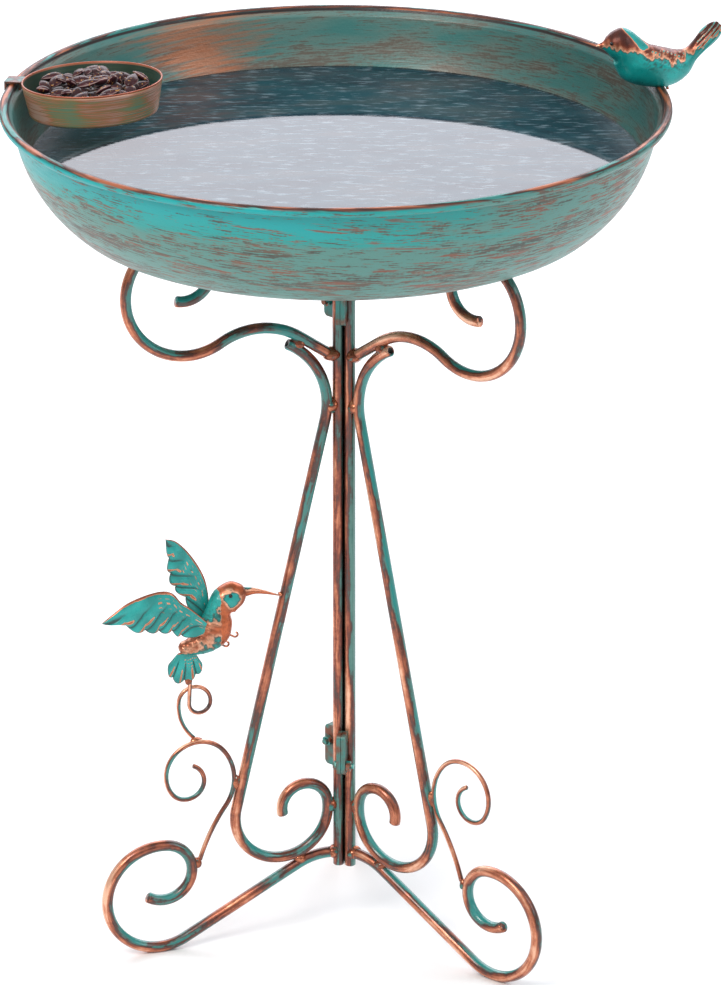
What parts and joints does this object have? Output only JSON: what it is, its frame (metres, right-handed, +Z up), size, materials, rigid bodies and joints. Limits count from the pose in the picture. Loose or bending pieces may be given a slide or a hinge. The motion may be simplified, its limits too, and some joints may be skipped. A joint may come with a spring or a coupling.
{
  "type": "bird bath",
  "caption": "Garden bird bath: round basin with hanging seed cup, resting on a bolted stand of scrolled wire legs, with a bird on the rim and one on a leg.",
  "frame": {"origin": "on the ground, under the middle of the basin", "axes": "+Z up; the hummingbird's leg points to -X-Y and the songbird sits on the rim at +X+Y"},
  "size_m": [0.4058, 0.4058, 0.5843],
  "materials": {
    "verdigris_paint": "satin",
    "brushed_copper_paint": "satin",
    "painted_fastener": "satin"
  },
  "bodies": {
    "stand": {"left_pole_rod": "verdigris_paint", "left_arm_scroll": "verdigris_paint", "left_strut_scroll": "verdigris_paint", "left_foot_scroll": "verdigris_paint", "left_filler_scroll": "brushed_copper_paint", "right_pole_rod": "verdigris_paint", "right_arm_scroll": "verdigris_paint", "right_strut_scroll": "verdigris_paint", "right_foot_scroll": "verdigris_paint", "right_filler_scroll": "brushed_copper_paint", "rear_pole_rod": "verdigris_paint", "rear_arm_scroll": "verdigris_paint", "rear_strut_scroll": "verdigris_paint", "rear_foot_scroll": "verdigris_paint", "rear_filler_scroll": "brushed_copper_paint", "upper_front_tab_of_left_leg": "verdigris_paint", "upper_front_tab_of_right_leg": "verdigris_paint", "upper_left_tab_of_left_leg": "verdigris_paint", "upper_left_tab_of_rear_leg": "verdigris_paint", "upper_front_bolt": "painted_fastener", "upper_front_nut": "painted_fastener", "upper_left_bolt": "painted_fastener", "upper_left_nut": "painted_fastener", "lower_front_tab_of_left_leg": "verdigris_paint", "lower_front_tab_of_right_leg": "verdigris_paint", "lower_left_tab_of_left_leg": "verdigris_paint", "lower_left_tab_of_rear_leg": "verdigris_paint", "lower_front_bolt": "painted_fastener", "lower_front_nut": "painted_fastener", "lower_left_bolt": "painted_fastener", "lower_left_nut": "painted_fastener", "hummingbird_body": "brushed_copper_paint", "hummingbird_beak": "brushed_copper_paint", "hummingbird_near_wing": "verdigris_paint", "hummingbird_far_wing": "verdigris_paint", "hummingbird_tail": "verdigris_paint", "hummingbird_front_foot": "brushed_copper_paint", "hummingbird_back_foot": "brushed_copper_paint", "hummingbird_support_wire": "brushed_copper_paint"},
    "basin": {"basin": "verdigris_paint", "songbird_body": "verdigris_paint", "songbird_left_foot": "brushed_copper_paint", "songbird_right_foot": "brushed_copper_paint"},
    "seed_cup": {"seed_cup": "brushed_copper_paint", "seed_cup_hook": "brushed_copper_paint"}
  },
  "joints": [
    {"name": "basin_lift", "type": "slide", "parent": "stand", "child": "basin", "axis": [0, 0, 1], "range_m": [0, 0.1]},
    {"name": "seed_cup_lift", "type": "slide", "parent": "basin", "child": "seed_cup", "axis": [0, 0, 1], "range_m": [0, 0.05]}
  ]
}
